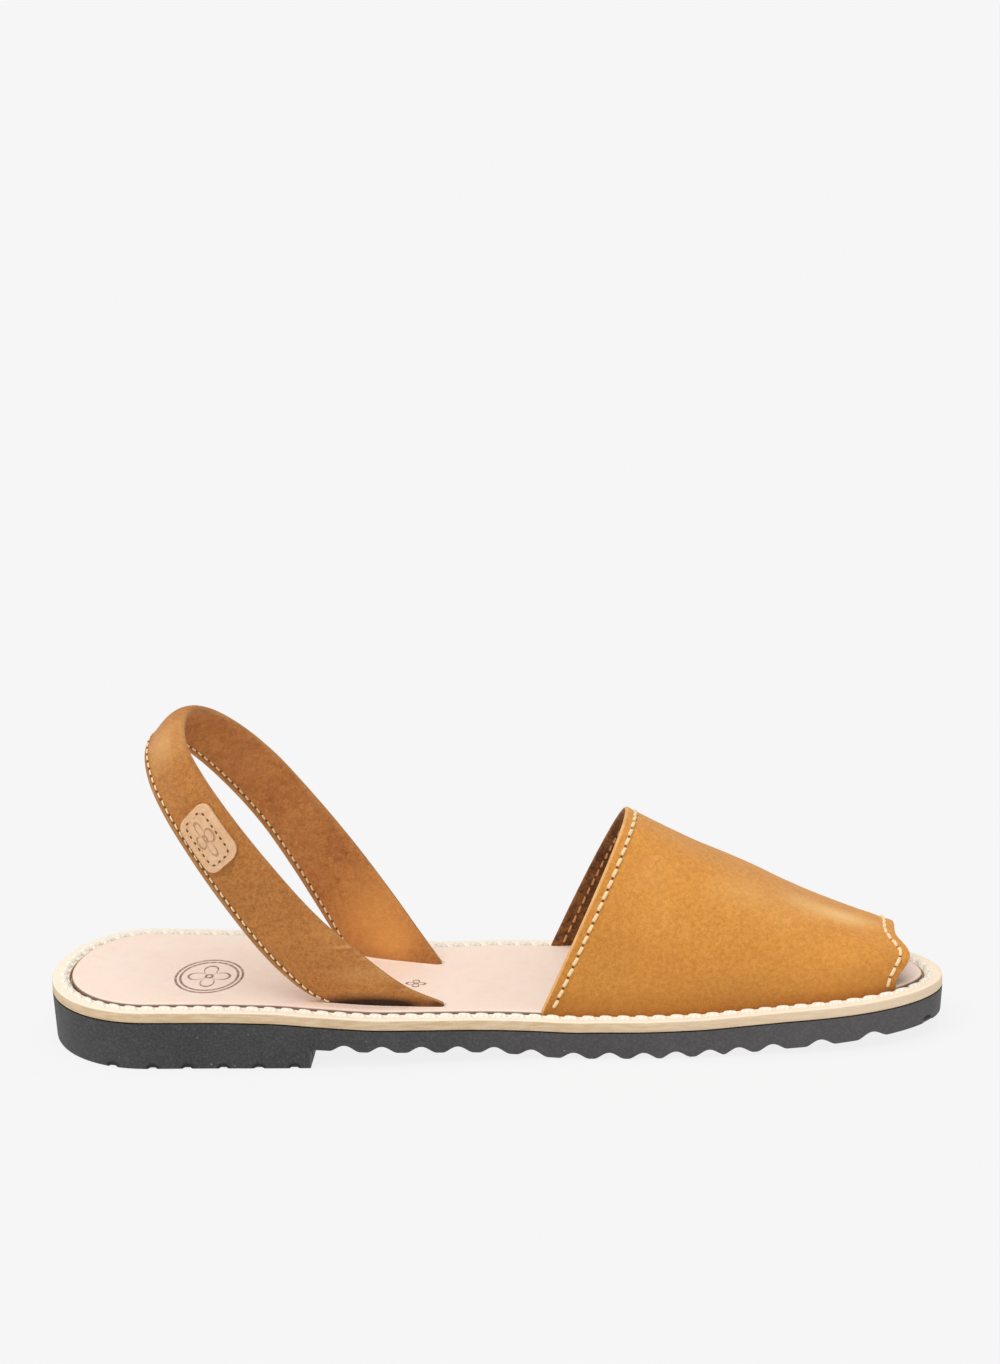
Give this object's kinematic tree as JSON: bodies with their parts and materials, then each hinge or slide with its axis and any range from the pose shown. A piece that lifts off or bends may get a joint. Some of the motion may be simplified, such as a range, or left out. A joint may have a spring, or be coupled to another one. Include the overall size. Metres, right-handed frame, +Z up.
{
  "type": "flat slingback sandal",
  "caption": "Flat leather sandal with a broad open-toed vamp, a heel strap through slits in the insole, and a ribbed rubber sole.",
  "frame": {"origin": "bottom centre of the bounding box, on the floor under the middle of the sole", "axes": "+X from heel to toe, +Y to the outer side of the foot, +Z up"},
  "size_m": [0.259, 0.0828, 0.0978],
  "materials": {
    "outsole": "matt moulded, finely specked",
    "midsole": "cream welt layer, smooth edge",
    "insole": "undyed smooth leather",
    "vamp": "tan nubuck",
    "heel_strap": "tan nubuck, folded",
    "strap_tag": "undyed smooth leather"
  },
  "bodies": {
    "root": {"outsole": "outsole", "midsole": "midsole", "insole": "insole", "vamp": "vamp", "heel_strap": "heel_strap", "strap_tag": "strap_tag"}
  },
  "joints": []
}
